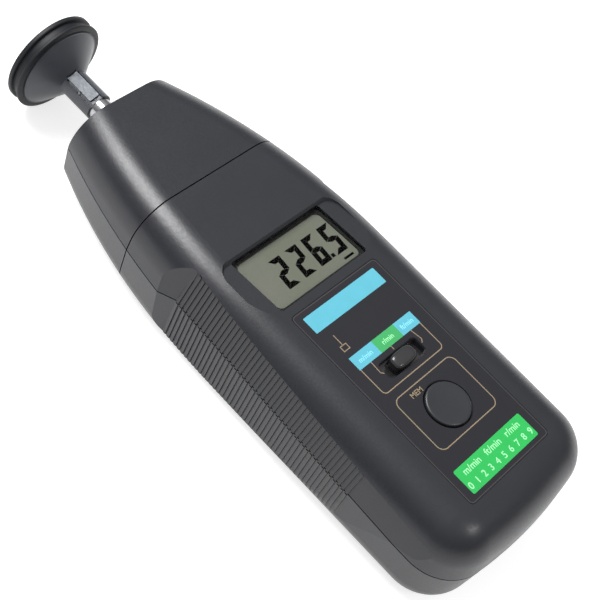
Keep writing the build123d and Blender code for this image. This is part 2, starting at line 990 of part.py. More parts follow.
def memory_plunger():
    """Plunger of the key switch under the memory button."""
    top = inner_front_z() - fit_gap - button_flange_thickness - face_gap
    bottom = board_top_z + tact_height - button_travel - plunger_radius / 2
    return post(0, button_y, bottom, top, plunger_radius)


def memory_switch():
    """Body of the key switch under the memory button."""
    half = tact_size / 2
    y = (button_y - half, button_y + half)
    body = block((-half, half), y, (board_top_z, board_top_z + tact_height))
    bottom = board_top_z + tact_height - 2 * button_travel - plunger_radius
    return body - post(0, button_y, bottom, board_top_z + tact_height + 1, plunger_radius + fit_gap)


def knob_bottom_z():
    return inner_front_z() - fit_gap - slide_cover_thickness


def mode_knob():
    """Knob of the slide switch, with a cover plate behind the slot."""
    width = slot_width - 2 * knob_gap
    top = case_depth + knob_rise
    bottom = knob_bottom_z()
    grip = Pos(0, slot_y, bottom) * extrude(Rectangle(knob_length, width), top - bottom)
    upright = grip.edges().filter_by(Axis.Z)
    grip = fillet(upright, slot_corner - fit_gap)
    grip = fillet(grip.faces().sort_by(Axis.Z)[-1].edges(), knob_rounding)
    cover_length = slot_length + 2 * slide_travel + slide_cover_overlap
    cover = Rectangle(cover_length, slot_width + 2 * slide_cover_overlap)
    plate = Pos(0, slot_y, bottom) * extrude(cover, slide_cover_thickness)
    return one_solid(grip + plate)


def switch_top_z():
    return knob_bottom_z() - switch_gap


def mode_switch_body():
    """Housing of the slide switch on the board, with the slot its actuator runs in."""
    half_length = actuator_length / 2 + slide_travel + actuator_gap
    reach = actuator_width / 2 + actuator_gap
    x = (-half_length - switch_wall, half_length + switch_wall)
    y = (slot_y - reach - switch_wall, slot_y + reach + switch_wall)
    body = block(x, y, (board_top_z, switch_top_z()))
    slot_z = (board_top_z + switch_floor, switch_top_z() + 1)
    slot = block((-half_length, half_length), (slot_y - reach, slot_y + reach), slot_z)
    return body - slot


def mode_actuator():
    """Actuator of the slide switch, carried along by the knob."""
    x = (-actuator_length / 2, actuator_length / 2)
    y = (slot_y - actuator_width / 2, slot_y + actuator_width / 2)
    return block(x, y, (board_top_z + switch_floor + 2 * fit_gap, knob_bottom_z() - face_gap))


def test_button():
    """Measuring button whose face follows the curved side of the case."""
    cap = one_solid(test_opening(0) & case_form(-test_rise))
    half_length = test_length / 2 + test_flange
    half_height = test_height / 2 + test_flange
    y = (test_y - half_length, test_y + half_length)
    z = (test_z - half_height, test_z + half_height)
    flange = block((test_flange_x, test_face_x()), y, z)
    return one_solid(cap + flange)


def test_plunger():
    """Plunger of the switch behind the measuring button."""
    low = test_board_x() + small_board_thickness + test_travel + test_plunger_sink
    high = test_flange_x - face_gap
    plunger = Rot(0, 90, 0) * Cylinder(test_plunger_radius, high - low)
    return Pos((low + high) / 2, test_y, test_z) * plunger


def test_switch():
    """Body of the switch behind the measuring button."""
    half = tact_size / 2
    low = test_board_x() + small_board_thickness
    y = (test_y - half, test_y + half)
    body = block((low, low + test_switch_depth), y, (test_z - half, test_z + half))
    hole = Rot(0, 90, 0) * Cylinder(test_plunger_radius + fit_gap, 2 * test_switch_depth)
    floor = low + test_plunger_sink - fit_gap
    return body - Pos(floor + test_switch_depth, test_y, test_z) * hole


def test_board():
    """Small upright board that carries the measuring switch."""
    x = (test_board_x(), test_board_x() + small_board_thickness)
    y = (test_y - test_board_half(), test_y + test_board_half())
    return block(x, y, (test_z - test_board_drop, board_top_z + test_board_rise))


# Electronics


def main_board():
    """Main circuit board with its four screw holes."""
    x = (-board_half_width, board_half_width)
    board = block(x, (board_tail_y, board_nose_y), (board_bottom_z(), board_top_z))
    holes = []
    for place in board_screw_places():
        holes.append(post(*place, board_bottom_z() - 1, board_top_z + 1, small_hole_radius()))
    return one_solid(board - holes)


def main_chip():
    """Main chip under the board."""
    half = chip_size / 2
    y = window_y - chip_size * 1.5
    z = (board_bottom_z() - chip_height, board_bottom_z())
    return block((-half, half), (y - half, y + half), z)


def sensor_board():
    """Board of the light barrier in the nose."""
    z = (barrier_top_z(), barrier_top_z() + small_board_thickness)
    x = (-sensor_board_half_width, sensor_board_half_width)
    board = block(x, (sensor_board_tail_y, sensor_board_nose_y), z)
    holes = []
    for side in (-sensor_screw_x, sensor_screw_x):
        holes.append(post(side, sensor_screw_y, z[0] - 1, z[1] + 1, small_hole_radius()))
    return one_solid(board - holes)


def light_barrier():
    """Fork-shaped light barrier that straddles the rim of the slotted disc."""
    half = barrier_width / 2
    y = (disc_y - barrier_length / 2, disc_y + barrier_length / 2)
    low = disc_top_z() - barrier_depth
    body = block((-half, half), y, (low, barrier_top_z()))
    gap_y = (disc_y - barrier_gap / 2, disc_y + barrier_gap / 2)
    gap_z = (low - 1, disc_top_z() + barrier_clearance)
    return body - block((-half - 1, half + 1), gap_y, gap_z)


# Battery


def battery_cell(index):
    """One AA cell with its raised contact, turned about from cell to cell."""
    radius = cell_diameter / 2
    top = cell_length - nipple_height
    body = [(0, 0), (radius - cell_bevel, 0), (radius, cell_bevel), (radius, top - cell_bevel)]
    body += [(radius - cell_bevel, top), (nipple_diameter / 2, top)]
    body += [(nipple_diameter / 2, cell_length), (0, cell_length)]
    face = make_face(Polyline(*[(r, y, 0) for r, y in body], close=True))
    cell = revolve(face, Axis.Y)
    if index % 2:
        cell = Pos(0, cell_length, 0) * Rot(180, 0, 0) * cell
    return Pos(cell_places()[index], cell_tail_y(), cell_z()) * cell


def contact_plate(indexes, at_nose):
    """Sheet contact along one end of the chamber, with a pressed spring dome for each cell."""
    places = [cell_places()[index] for index in indexes]
    low = min(places) - contact_height / 2
    high = max(places) + contact_height / 2
    z = (cell_z() - contact_height / 2, cell_z() + contact_height / 2)
    if at_nose:
        wall_y = chamber_nose_y() - sheet_gap
        plate = block((low, high), (wall_y - contact_thickness, wall_y), z)
        dome_y = (cell_nose_y + face_gap, wall_y - contact_thickness)
    else:
        wall_y = chamber_tail_y() + sheet_gap
        plate = block((low, high), (wall_y, wall_y + contact_thickness), z)
        dome_y = (wall_y + contact_thickness, cell_tail_y() - face_gap)
    domes = []
    for x in places:
        base, tip = (dome_y[1], dome_y[0]) if at_nose else (dome_y[0], dome_y[1])
        ring = [(0, base), (dome_base_radius, base), (dome_tip_radius, tip), (0, tip)]
        face = make_face(Polyline(*[(r, y, 0) for r, y in ring], close=True))
        domes.append(Pos(x, 0, cell_z()) * revolve(face, Axis.Y))
    return one_solid(plate + domes)


def contact_pair(left, right, at_nose):
    """Two sheet contacts at the same end of the chamber."""
    return Compound(children=[contact_plate(left, at_nose), contact_plate(right, at_nose)])


# Spindle and its bearings


def spindle_shaft():
    """Stepped polished spindle with two grooves for its retaining rings."""
    thick = spindle_diameter / 2
    thin = spindle_tail_diameter / 2
    groove = thin - ring_groove
    points = [(0, spindle_tail_y), (thin, spindle_tail_y)]
    for low in ring_places():
        high = low + ring_thickness
        points += [(thin, low), (groove, low), (groove, high), (thin, high)]
    points += [(thin, spindle_shoulder_y), (thick, spindle_shoulder_y)]
    points += [(thick, spindle_end_y - spindle_bevel), (thick - spindle_bevel, spindle_end_y)]
    points.append((0, spindle_end_y))
    shaft = turned(points)
    return one_solid(shaft - pin_cutter())


def beside_tongue(width):
    """Angle from the tongue's middle to the middle of a slot of the given width beside it."""
    return math.degrees(math.asin((tongue_width / 2 + tongue_margin + width / 2) / hub_radius))


def pin_angle():
    """Angle of the drive pin and of its slot, from +Z towards -X."""
    return tongue_angle + beside_tongue(pin_slot_width)


def pin_y():
    return hub_y + pin_slot_length - pin_slot_width / 2 - pin_play


def pin_cutter():
    """Hole for the drive pin, a hair wider and deeper than the pin."""
    low = pin_embedding + fit_gap
    high = spindle_diameter
    bar = Pos(0, 0, (high - low) / 2) * Cylinder(pin_diameter / 2 + pin_hole_gap, high + low)
    return Pos(0, pin_y(), spindle_z) * Rot(0, -pin_angle(), 0) * bar


def drive_pin():
    """Pin in the spindle that turns the wheel through the slot in its hub."""
    reach = hub_radius - pin_sink
    bar = Pos(0, 0, (reach - pin_embedding) / 2) * Cylinder(pin_diameter / 2, reach + pin_embedding)
    return Pos(0, pin_y(), spindle_z) * Rot(0, -pin_angle(), 0) * bar


def ring_places():
    """Low ends of the two retaining rings, one beyond each end of the rear bush."""
    before = rear_bush_y - bush_flange_thickness - ring_gap - ring_thickness
    after = rear_bush_y + rear_bush_length + ring_gap
    return before, after


def retaining_rings():
    """Two spring rings in the spindle's grooves."""
    inner = spindle_tail_diameter / 2 - ring_groove + ring_play
    outer = spindle_tail_diameter / 2 + ring_rim
    rings = []
    for low in ring_places():
        high = low + ring_thickness - ring_play
        start = low + ring_play
        ring = turned([(inner, start), (outer, start), (outer, high), (inner, high)])
        rings.append(ring.solid())
    return Compound(children=rings)


def rear_bush():
    """Flanged bush behind the spindle's shoulder."""
    bore = spindle_tail_diameter / 2 + running_gap
    outer = rear_bush_radius()
    flange = outer + bush_flange_rim
    flange_y = rear_bush_y - bush_flange_thickness
    end = rear_bush_y + rear_bush_length
    points = [(bore, flange_y), (flange, flange_y), (flange, rear_bush_y), (outer, rear_bush_y)]
    return turned(points + [(outer, end), (bore, end)])


def front_bush():
    """Plain bush where the spindle leaves the nose."""
    bore = spindle_diameter / 2 + running_gap
    outer = front_bush_radius()
    start = front_bush_y()
    end = start + front_bush_length
    points = [(bore, start), (outer, start), (outer, end - bush_bevel), (outer - bush_bevel, end)]
    return turned(points + [(bore, end)])


def bearing_carrier():
    """Carrier for both bushes, screwed to the bosses inside the nose wall."""
    rear_bore = rear_bush_radius() + seat_gap
    front_bore = front_bush_radius() + seat_gap
    outer = front_bush_radius() + carrier_wall
    start = rear_bush_y + seat_gap
    step = front_bush_y() - carrier_end_gap
    end = nose_y - wall - carrier_end_gap
    points = [(rear_bore, start), (outer - 1, start), (outer, start + 1), (outer, end)]
    body = turned(points + [(front_bore, end), (front_bore, step), (rear_bore, step)])
    flange_y = (carrier_seat_y(), carrier_nose_y() - face_gap)
    x = (-carrier_flange_half_width, carrier_flange_half_width)
    flange = block(x, flange_y, (carrier_flange_low_z, carrier_flange_high_z))
    flange = fillet(flange.edges().filter_by(Axis.Y), carrier_corner)
    cutters = [rod(0, spindle_z, flange_y[0] - 1, flange_y[1] + 1, front_bore)]
    for side in (-carrier_screw_x, carrier_screw_x):
        for z in carrier_screw_zs:
            cutters.append(rod(side, z, flange_y[0] - 1, flange_y[1] + 1, small_hole_radius()))
    return one_solid(body + (flange - cutters))


def encoder_disc():
    """Slotted disc with its hub on the tail of the spindle."""
    half = disc_thickness / 2
    bore = spindle_tail_diameter / 2 + disc_bore_gap
    hub_low = disc_y - disc_hub_length / 2
    hub_high = disc_y + disc_hub_length / 2
    points = [(bore, hub_low), (disc_hub_radius, hub_low), (disc_hub_radius, disc_y - half)]
    points += [(disc_radius, disc_y - half), (disc_radius, disc_y + half)]
    points += [(disc_hub_radius, disc_y + half), (disc_hub_radius, hub_high), (bore, hub_high)]
    disc = turned(points)
    middle = disc_radius - disc_rim - disc_slot_length / 2
    slots = []
    for index in range(disc_slot_count):
        slot = Pos(0, disc_y, middle) * Box(disc_slot_width, 2 * disc_thickness, disc_slot_length)
        slots.append(Pos(0, 0, spindle_z) * Rot(0, index * 360 / disc_slot_count, 0) * slot)
    return one_solid(disc - slots)


# Measuring wheel


def wheel_disc():
    """Wheel with a conical web and a slotted hub that pushes onto the spindle."""
    bore = spindle_diameter / 2 + hub_gap
    root_y = hub_y + hub_length
    rim = wheel_radius - lip_height - tyre_wall
    rim_low = wheel_front_y - tyre_width
    front = wheel_front_y - rim_step
    cap_low = spindle_end_y + cap_gap
    cap_top = cap_low + cap_thickness
    points = [(bore, hub_y), (hub_radius, hub_y), (hub_radius, root_y - root_bevel)]
    points += [(web_root_radius, root_y), (rim - rim_step, rim_low - rim_step)]
    points.append((rim, rim_low - rim_step))
    points += [(rim, front), (rim - rim_width, front), (rim - rim_width, rim_low + web_thickness)]
    points += [(cap_radius, root_y + web_thickness + root_bevel), (cap_radius, cap_top), (0, cap_top)]
    points += [(0, cap_low), (bore, cap_low)]
    wheel = turned(points)
    cutters = [hub_slit(pin_angle(), pin_slot_width, pin_slot_length), tongue_bed()]
    for side in (-1, 1):
        angle = tongue_angle + side * beside_tongue(slit_width)
        cutters.append(hub_slit(angle, slit_width, slit_length))
    return one_solid(wheel - cutters)


def hub_slit(angle, width, length):
    """Slit through the hub's wall from its open end."""
    low = spindle_diameter / 2 - 1
    bar = block((-width / 2, width / 2), (hub_y - 1, hub_y + length), (low, hub_radius + 0.3))
    return Pos(0, 0, spindle_z) * Rot(0, -angle, 0) * bar


def tongue_bed():
    """Flat bed between the slits for the spring tongue."""
    half = tongue_width / 2 + tongue_margin
    low = hub_radius - tongue_thickness - tongue_margin
    y = (hub_y - 1, hub_y + slit_length + tongue_margin)
    bar = block((-half, half), y, (low, hub_radius + 0.5))
    return Pos(0, 0, spindle_z) * Rot(0, -tongue_angle, 0) * bar


def hub_tongue():
    """Bright spring tongue that grips the spindle between the slits."""
    half = tongue_width / 2
    low = hub_radius - tongue_thickness
    y = (hub_y + tongue_start, hub_y + slit_length)
    bar = block((-half, half), y, (low, hub_radius - tongue_sink))
    bar = fillet(bar.edges().filter_by(Axis.Z).sort_by(Axis.Y)[0:2], tongue_corner)
    return Pos(0, 0, spindle_z) * Rot(0, -tongue_angle, 0) * bar


def wheel_tyre():
    """Rubber tyre with two bevelled lips and the groove between them."""
    inner = wheel_radius - lip_height - tyre_wall + tyre_gap
    floor = wheel_radius - lip_height
    low = wheel_front_y - tyre_width
    rear = low + rear_lip_width
    front = wheel_front_y - front_lip_width
    shoulder = wheel_radius - lip_bevel / 2
    points = [(inner, low), (floor, low)]
    for start, end in ((low, rear), (front, wheel_front_y)):
        points += [(shoulder, start + lip_crest), (wheel_radius, start + lip_bevel)]
        points += [(wheel_radius, end - lip_bevel), (shoulder, end - lip_crest), (floor, end)]
        if end == rear:
            points.append((floor, front))
    return turned(points + [(inner, wheel_front_y)])


# Fasteners


def screw(head_radius, head_height, shank_radius, length):
    """Plain screw standing on its head."""
    head = Pos(0, 0, -head_height / 2) * Cylinder(head_radius, head_height)
    shank = Pos(0, 0, length / 2) * Cylinder(shank_radius, length)
    return one_solid(head + shank)


def small_screw(length):
    """Screw for boards and carrier, of the given length under its head."""
    return screw(small_head_diameter / 2, small_head_height, small_screw_diameter / 2, length)


def upright_screws(places):
    """Case screws driven from the back."""
    length = parting_z + joint_gap / 2 + screw_reach - screw_tip_gap - screw_seat_z
    pattern = screw(screw_head_diameter / 2, screw_head_height, screw_diameter / 2, length)
    return Compound(children=[Pos(x, y, screw_seat_z) * pattern for x, y in places])


def board_screws():
    """Small screws that hold the main board to the front moulding."""
    pattern = small_screw(board_thickness + board_screw_depth - screw_tip_gap)
    places = board_screw_places()
    return Compound(children=[Pos(x, y, board_bottom_z()) * pattern for x, y in places])


def sensor_screws():
    """Small screws that hold the sensor board."""
    pattern = small_screw(small_board_thickness + sensor_screw_depth - screw_tip_gap)
    places = [(x, sensor_screw_y) for x in (-sensor_screw_x, sensor_screw_x)]
    return Compound(children=[Pos(x, y, barrier_top_z()) * pattern for x, y in places])


def carrier_screws():
    """Screws that hold the bearing carrier to the nose wall."""
    length = carrier_flange_thickness + carrier_screw_depth - screw_tip_gap
    pattern = Rot(-90, 0, 0) * small_screw(length)
    screws = []
    for x in (-carrier_screw_x, carrier_screw_x):
        for z in carrier_screw_zs:
            screws.append(Pos(x, carrier_seat_y(), z) * pattern)
    return Compound(children=screws)


def build_parts():
    """All sub-parts by name."""
    plain = case_form(0)
    outer = plain - grip_recess(rib_height)
    outer = one_solid(outer + grip_ribs(plain))
    middle = recessed_form(wall / 2)
    step = recessed_form(wall / 2 + fit_gap)
    inner = recessed_form(wall)
    parts = {
        "front_shell": front_shell(outer, middle, step, inner),
        "rear_shell": rear_shell(outer, middle, step, inner),
        "nose_front_shell": nose_front_shell(outer, middle, inner),
        "nose_rear_shell": nose_rear_shell(outer, middle, step, inner),
        "battery_cover": battery_cover(inner),
        "lcd_window": lcd_window(),
        "display_bezel": display_bezel(),
        "lcd_panel": lcd_panel(),
        "contact_strips": contact_strips(),
        "front_label": front_label(),
        "memory_button": memory_button(),
        "memory_plunger": memory_plunger(),
        "memory_switch": memory_switch(),
        "mode_knob": mode_knob(),
        "mode_actuator": mode_actuator(),
        "mode_switch_body": mode_switch_body(),
        "test_button": test_button(),
        "test_plunger": test_plunger(),
        "test_switch": test_switch(),
        "test_board": test_board(),
        "main_board": main_board(),
        "main_chip": main_chip(),
        "sensor_board": sensor_board(),
        "light_barrier": light_barrier(),
        "tail_contacts": contact_pair((0, 1), (2, 3), False),
        "nose_link_contact": contact_plate((1, 2), True),
        "nose_end_contacts": contact_pair((0,), (3,), True),
        "spindle_shaft": spindle_shaft(),
        "drive_pin": drive_pin(),
        "retaining_rings": retaining_rings(),
        "rear_bush": rear_bush(),
        "front_bush": front_bush(),
        "bearing_carrier": bearing_carrier(),
        "encoder_disc": encoder_disc(),
        "wheel_disc": wheel_disc(),
        "hub_tongue": hub_tongue(),
        "wheel_tyre": wheel_tyre(),
        "case_screws": upright_screws(case_screw_places),
        "nose_screws": upright_screws(nose_screw_places),
        "board_screws": board_screws(),
        "sensor_screws": sensor_screws(),
        "carrier_screws": carrier_screws(),
    }
    for index in range(4):
        parts[f"battery_cell_{index + 1}"] = battery_cell(index)
    return parts


os.makedirs("parts", exist_ok=True)
for name, shape in build_parts().items():
    export_step(shape, f"parts/{name}.step")
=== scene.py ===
import math

import bpy
from mathutils import Euler, Matrix, Vector


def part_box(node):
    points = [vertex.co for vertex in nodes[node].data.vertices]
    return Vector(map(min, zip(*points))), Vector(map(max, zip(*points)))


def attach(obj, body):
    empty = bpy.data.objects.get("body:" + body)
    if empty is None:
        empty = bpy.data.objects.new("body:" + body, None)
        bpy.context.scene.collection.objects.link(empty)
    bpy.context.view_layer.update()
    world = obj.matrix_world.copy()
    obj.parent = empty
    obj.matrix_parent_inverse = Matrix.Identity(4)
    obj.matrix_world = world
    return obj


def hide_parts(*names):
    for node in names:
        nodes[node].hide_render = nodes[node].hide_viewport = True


# Looks of the hand-held contact tachometer. Lengths in this file are millimetres in the frame
# of the part's source: X across the case, Y from the tail to the wheel, Z from back to display.

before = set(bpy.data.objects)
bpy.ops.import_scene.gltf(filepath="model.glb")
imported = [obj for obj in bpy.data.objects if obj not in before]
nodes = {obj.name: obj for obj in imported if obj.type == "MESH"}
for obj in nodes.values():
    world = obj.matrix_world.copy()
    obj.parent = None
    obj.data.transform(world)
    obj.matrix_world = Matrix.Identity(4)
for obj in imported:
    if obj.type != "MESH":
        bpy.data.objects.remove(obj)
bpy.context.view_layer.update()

# Places taken from the part
CASE_DEPTH = 38.5
LABEL_TOP = 38.47
LABEL_TAIL_Y = -90.2
SLOPE_TAIL_Y = -13.0
SLOPE_FRONT_Y = 6.6
SLOPE_DROP = 1.6
DISPLAY_Y = -3.65
DISPLAY_SLOPE = SLOPE_DROP / (SLOPE_FRONT_Y - SLOPE_TAIL_Y)
DISPLAY_Z = CASE_DEPTH - (DISPLAY_Y - SLOPE_TAIL_Y) * DISPLAY_SLOPE
PANEL_DEPTH = 1.85
SCREW_HEAD_Z = 4.2
CASE_SCREWS = [(-26.0, -35.0), (26.0, -35.0), (-17.0, 27.0), (17.0, 27.0)]
NOSE_SCREWS = [(-19.5, 43.0), (19.5, 43.0)]
CELL_TAIL_Y = -93.2
CELL_LENGTH = 50.5

# Slide switch knob: a grip with a plan between a box and an oval, on a cover plate. Its crown
# draws in towards KNOB_ROUND at the sides, and KNOB_END_FACTOR times as far at the ends.
KNOB_Y = -46.3
KNOB_HALF = (4.75, 2.65)
KNOB_PLATE = (12.4, 4.7)
KNOB_PLATE_CORNER = 0.6
KNOB_PLATE_LOW = 35.0
KNOB_PLATE_TOP = 36.2
KNOB_SHOULDER = 38.7
KNOB_TOP = 40.3
KNOB_ROUND = 1.9
KNOB_END_FACTOR = 1.5
KNOB_INSET_POWER = 0.7
KNOB_RISE_POWER = 0.8
KNOB_OVAL_POWER = 0.65
KNOB_STEPS = 9
KNOB_POINTS = 48

# Print: heights of the ink over its ground and widths of lines; then the pale line of painted highlight
# round the label's edge, where the step of its recess catches the light
PRINT_LOW = -0.02
PRINT_HIGH = 0.012
LINE_WIDTH = 0.32
FINE_LINE_WIDTH = 0.9 * LINE_WIDTH
EDGE_HIGHLIGHT_WIDTH = 0.25
EDGE_HIGHLIGHT_INSET = 0.35
EDGE_HIGHLIGHT_CORNER = 1.2
MITRE_LIMIT = 0.3

# Bars and fields of the label, as left, right, tail end and front end
BLUE_BAR = (-15.7, 15.7, -25.4, -19.5)
STRIP_TAIL_Y = -41.4
STRIP_FRONT_Y = -36.7
STRIP_LEFT = (-13.9, -4.0, STRIP_TAIL_Y, STRIP_FRONT_Y)
STRIP_MIDDLE = (-4.0, 6.0, STRIP_TAIL_Y, STRIP_FRONT_Y)
STRIP_RIGHT = (6.0, 13.9, STRIP_TAIL_Y, STRIP_FRONT_Y)
GREEN_FIELD = (-15.6, 15.6, -88.3, -79.9)
BAR_CORNER = 0.3
FIELD_CORNER = 0.6

# Frames and brackets of the label
SWITCH_FRAME = [(-13.6, STRIP_TAIL_Y), (-13.6, -51.3), (13.6, -51.3), (13.6, STRIP_TAIL_Y)]
SWITCH_FRAME_CORNER = 1.5
MEMORY_FRAME = [(-13.3, -74.0), (13.3, -74.0), (13.3, -54.3), (-13.3, -54.3)]
MEMORY_FRAME_CORNER = 2.4
LEFT_BRACKET = [(-9.1, STRIP_TAIL_Y), (-9.3, -45.6), (-8.5, -46.4)]
RIGHT_BRACKET = [(9.2, STRIP_TAIL_Y), (9.9, -45.4), (9.0, -46.4)]
MIDDLE_TICK = [(0.0, STRIP_TAIL_Y), (0.0, -42.8)]
MARK_STEM = [(-12.0, -28.6), (-12.0, -32.6)]
MARK_FOOT = [(-13.2, -32.6), (-10.8, -32.6), (-10.8, -34.4), (-13.2, -34.4)]

# Captions: letter sizes, rows and places, and how much the strokes are thickened
UNIT_SIZE = 2.3
UNIT_Y = -39.2
UNIT_LEFT_X = -9.0
UNIT_MIDDLE_X = 1.0
UNIT_RIGHT_X = 9.9
KEY_CAPTION_SIZE = 2.4
KEY_CAPTION_PLACE = (-5.2, -56.6)
FIELD_SIZE = 3.0
FIELD_UPPER_Y = -82.1
FIELD_LOWER_Y = -86.1
FINE_WEIGHT = 0.03
FIELD_WEIGHT = 0.04

# Display digits, from the middle of the window
DIGITS = [("2", -10.0), ("2", -2.85), ("6", 4.25), ("5", 11.4)]
DIGIT_BOTTOM = -5.8
DIGIT_HEIGHT = 10.8
DIGIT_WIDTH = 4.8
DIGIT_STROKE = 1.75
DIGIT_SLANT = 0.15
SEGMENT_GAP = 0.03
SEGMENT_TIP = 0.15
DECIMAL_POINT = (9.6, 10.9, -5.6, -4.3)
LOWER_DASH = (12.1, 16.2, -8.4, -7.6)
SEGMENT_LOW = 0.004
SEGMENT_HIGH = 0.03

# Cross recesses of the screws, drawn as flat crosses of painted shade
RECESS_HALVES = (1.4, 0.35)
RECESS_LOW = -0.02
RECESS_HIGH = 0.05

# Floor, in metres: its greys, and how brightly it glows where it is seen or mirrored
FLOOR_REACH = 40
FLOOR_DARK = 0.54
FLOOR_PALE = 0.56
FLOOR_GLOW = 0.72

# Sky, as height (0 at the horizon, 1 overhead) and brightness
SKY_LEVELS = [(0.0, 1.0), (0.08, 1.0), (0.16, 0.2), (0.5, 0.42), (0.85, 0.76)]

# Soft boxes, as place and size in metres and power in watts
SHOULDER_BOX = {"place": (-0.10, 0.715, 0.958), "size": (0.55, 0.6), "power": 15.5}
TAIL_BOX = {"place": (0.14, -0.77, 0.91), "size": (0.22, 0.16), "power": 1.6}

# Camera, fitted to the photograph: place in the part's millimetres, turns in degrees
CAMERA_SENSOR = 36.0
CAMERA_LENS = 84.0
CAMERA_SHIFT = (0.02575, 0.03771)
CAMERA_PLACE = (-242.44, -96.71, 357.96)
CAMERA_TURNS = (32.6223, -17.0574, -45.608)

# How far the part's own frame lies from the shared one along the case
origin_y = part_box("front_label")[0][1] * 1000 - LABEL_TAIL_Y


# Places on the object


def metres(x, y, z):
    """Point of the part's millimetre frame, in the metres of the scene."""
    return Vector((x, y + origin_y, z)) / 1000


def on_label(x, y, height):
    """Point over the face of the label."""
    return metres(x, y, LABEL_TOP + height)


def on_display(x, y, height):
    """Point over the display panel, from the middle of the window, along its slope."""
    length = math.hypot(1, DISPLAY_SLOPE)
    depth = height - PANEL_DEPTH
    along = (y + depth * DISPLAY_SLOPE) / length
    rise = (depth - y * DISPLAY_SLOPE) / length
    return metres(x, DISPLAY_Y + along, DISPLAY_Z + rise)


# Mesh helpers


def mesh_piece(name, verts, faces, body, material, smooth=False):
    """Mesh object that rides on a body."""
    mesh = bpy.data.meshes.new(name)
    mesh.from_pydata([tuple(v) for v in verts], [], faces)
    mesh.materials.append(material)
    if smooth:
        mesh.shade_smooth()
    else:
        mesh.shade_flat()
    piece = bpy.data.objects.new(name, mesh)
    bpy.context.collection.objects.link(piece)
    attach(piece, body)
    return piece


def plates(name, outlines, place, material, body="case", low=PRINT_LOW, high=PRINT_HIGH):
    """Thin flat plates with the given outlines, as one piece."""
    verts, faces = [], []
    for outline in outlines:
        base = len(verts)
        count = len(outline)
        verts += [place(x, y, low) for x, y in outline]
        verts += [place(x, y, high) for x, y in outline]
        faces.append(tuple(base + i for i in reversed(range(count))))
        faces.append(tuple(base + count + i for i in range(count)))
        for i in range(count):
            j = (i + 1) % count
            faces.append((base + i, base + j, base + count + j, base + count + i))
    return mesh_piece(name, verts, faces, body, material)


def rounded(points, radius, closed, steps=6):
    """Polyline with its corners rounded; the ends of an open one stay as they are."""
    out = []
    count = len(points)
    for i, point in enumerate(points):
        if not closed and i in (0, count - 1):
            out.append(point)
            continue
        here = Vector(point)
        before = (Vector(points[i - 1]) - here).normalized()
        after = (Vector(points[(i + 1) % count]) - here).normalized()
        angle = before.angle(after)
        reach = radius / math.tan(angle / 2)
        start, end = here + before * reach, here + after * reach
        centre = here + (before + after).normalized() * radius / math.sin(angle / 2)
        for k in range(steps + 1):
            t = k / steps
            arm = (start - centre).lerp(end - centre, t).normalized() * radius
            out.append(tuple(centre + arm))
    return out


def stroke(points, width, closed):
    """Left and right edges of a line of the given width along a polyline, mitred at its corners."""
    count = len(points)
    left, right = [], []
    for i in range(count):
        here = Vector(points[i])
        arriving = leaving = None
        if closed or i > 0:
            arriving = (here - Vector(points[i - 1])).normalized()
        if closed or i < count - 1:
            leaving = (Vector(points[(i + 1) % count]) - here).normalized()
        arriving, leaving = arriving or leaving, leaving or arriving
        along = arriving + leaving
        normal = Vector((-along.y, along.x)).normalized()
        reach = width / 2 / max(normal.dot(Vector((-arriving.y, arriving.x))), MITRE_LIMIT)
        left.append(here + normal * reach)
        right.append(here - normal * reach)
    return left, right


def ribbons(name, paths, width, place, material, body="case"):
    """Printed lines, and the pale line of painted highlight round the label, along several paths, each a
    (points, closed) pair, as one piece.
    """
    verts, faces = [], []
    for points, closed in paths:
        left, right = stroke(points, width, closed)
        base = len(verts)
        count = len(points)
        for a, b in zip(left, right):
            verts += [place(*edge, z) for edge in (a, b) for z in (PRINT_LOW, PRINT_HIGH)]
        for i in range(count if closed else count - 1):
            here = base + 4 * i
            after = base + 4 * ((i + 1) % count)
            faces += [(here + 1, here + 3, after + 3, after + 1), (here, after, after + 2, here + 2)]
            faces += [(here, here + 1, after + 1, after), (here + 2, after + 2, after + 3, here + 3)]
        if not closed:
            last = base + 4 * (count - 1)
            faces += [(base, base + 2, base + 3, base + 1), (last, last + 1, last + 3, last + 2)]
    return mesh_piece(name, verts, faces, body, material)


def box_outline(x0, x1, y0, y1, corner=0.0):
    """Rectangle outline from left, right, tail end and front end, with rounded corners if any."""
    points = [(x0, y0), (x1, y0), (x1, y1), (x0, y1)]
    return rounded(points, corner, True, steps=4) if corner else points


def caption(name, words, x, y, size, material, weight, body="case"):
    """Printed words centred on a place of the label, with strokes thickened by a weight."""
    curve = bpy.data.curves.new(name, "FONT")
    curve.body = words
    curve.size = size / 1000
    curve.extrude = PRINT_HIGH / 1000
    curve.offset = weight / 1000
    curve.align_x = "CENTER"
    curve.align_y = "CENTER"
    curve.materials.append(material)
    piece = bpy.data.objects.new(name, curve)
    bpy.context.collection.objects.link(piece)
    piece.location = on_label(x, y, PRINT_HIGH)
    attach(piece, body)


# Materials: colours that are used more than once or mixed
CASE_GREY = (0.013, 0.014, 0.019)
DISPLAY_GREEN = (0.150, 0.156, 0.130)
DISPLAY_GREY = (0.166, 0.164, 0.146)
CELL_COPPER = (0.4, 0.22, 0.1)
CELL_DARK = (0.02, 0.025, 0.03)
CELL_NOSE_DARK = (0.03, 0.035, 0.04)
CELL_BAND_SHARE = 0.28

# Edges: bevel samples, the cosine between true and softened normal at a worn edge and on a flat
# face, and how much paler a rubbed edge is and how far it shows
BEVEL_SAMPLES = 4
EDGE_COSINE = 0.85
FLAT_COSINE = 0.995
RUBBED_FACTOR = 1.6
RUBBED_SHARE = 0.55


def new_material(name):
    """Empty principled material with its node tree and shader."""
    material = bpy.data.materials.new(name)
    material.use_nodes = True
    tree = material.node_tree
    return material, tree, tree.nodes["Principled BSDF"]


